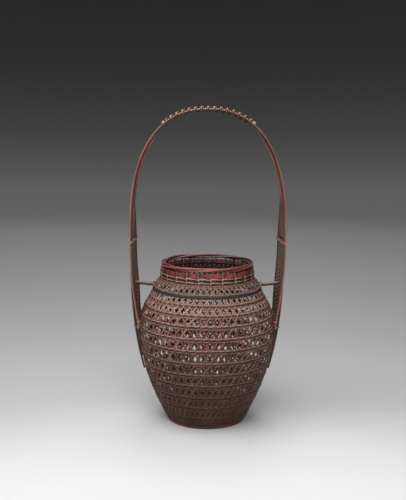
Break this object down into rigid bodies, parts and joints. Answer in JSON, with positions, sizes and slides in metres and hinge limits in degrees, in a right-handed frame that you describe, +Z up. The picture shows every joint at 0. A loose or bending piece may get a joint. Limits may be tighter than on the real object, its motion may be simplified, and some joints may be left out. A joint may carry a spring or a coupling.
{
  "type": "ikebana basket",
  "caption": "Tall handled flower basket of dark and red lacquered bamboo: open twined body, laced collar, twisted rim and an arched handle with a bound grip.",
  "frame": {"origin": "centre of the base hoop, on the surface that the basket stands on", "axes": "+Z up along the body's axis, +X along the span of the handle, and the front faces -Y"},
  "size_m": [0.2202, 0.1894, 0.4399],
  "materials": {
    "dark_bamboo": "stained bamboo splints, smoked dark brown, satin",
    "band_rattan": "twined rattan, brown with reddish edges, satin",
    "pale_rattan": "rattan strand, pinkish tan, satin",
    "black_hoop": "bamboo hoop, stained nearly black, satin",
    "red_lacquer": "bamboo with worn red lacquer, semi-gloss",
    "handle_wrap": "rod wound with fine rattan, pinkish red, satin",
    "grip_rattan": "thick rattan binding, golden brown, satin"
  },
  "bodies": {
    "root": {"base_hoop": "red_lacquer", "belly_wall": "dark_bamboo", "bottom_mat": "dark_bamboo", "bottom_splint_lower": "dark_bamboo", "bottom_splint_upper": "dark_bamboo", "collar_lacing": "pale_rattan", "collar_strip_inner": "red_lacquer", "collar_strip_outer": "red_lacquer", "grip_binding": "grip_rattan", "grip_knot_left": "grip_rattan", "grip_knot_right": "grip_rattan", "handle_core": "red_lacquer", "handle_rod_back": "handle_wrap", "handle_rod_front": "handle_wrap", "leg_panel_left": "dark_bamboo", "leg_panel_right": "dark_bamboo", "leg_tie_left": "pale_rattan", "leg_tie_right": "pale_rattan", "lower_wall": "dark_bamboo", "neck_base_band": "band_rattan", "neck_rod_lower": "band_rattan", "neck_rod_upper": "band_rattan", "neck_wall": "dark_bamboo", "peg_left": "pale_rattan", "peg_right": "pale_rattan", "rim_strand_1": "red_lacquer", "rim_strand_2": "red_lacquer", "rim_strand_3": "red_lacquer", "rod_lashing_back_left": "pale_rattan", "rod_lashing_back_right": "pale_rattan", "rod_lashing_front_left": "pale_rattan", "rod_lashing_front_right": "pale_rattan", "shoulder_hoop": "black_hoop", "shoulder_line": "pale_rattan", "shoulder_wall": "dark_bamboo", "splints_back_left": "dark_bamboo", "splints_back_right": "dark_bamboo", "splints_front_left": "dark_bamboo", "splints_front_right": "dark_bamboo", "twined_band_01": "band_rattan", "twined_band_02": "band_rattan", "twined_band_03": "band_rattan", "twined_band_04": "band_rattan", "twined_band_05": "band_rattan", "twined_band_06": "band_rattan", "twined_band_07": "band_rattan", "twined_band_08": "band_rattan", "twined_band_09": "band_rattan", "twined_band_10": "band_rattan", "twined_band_11": "band_rattan"}
  },
  "joints": []
}
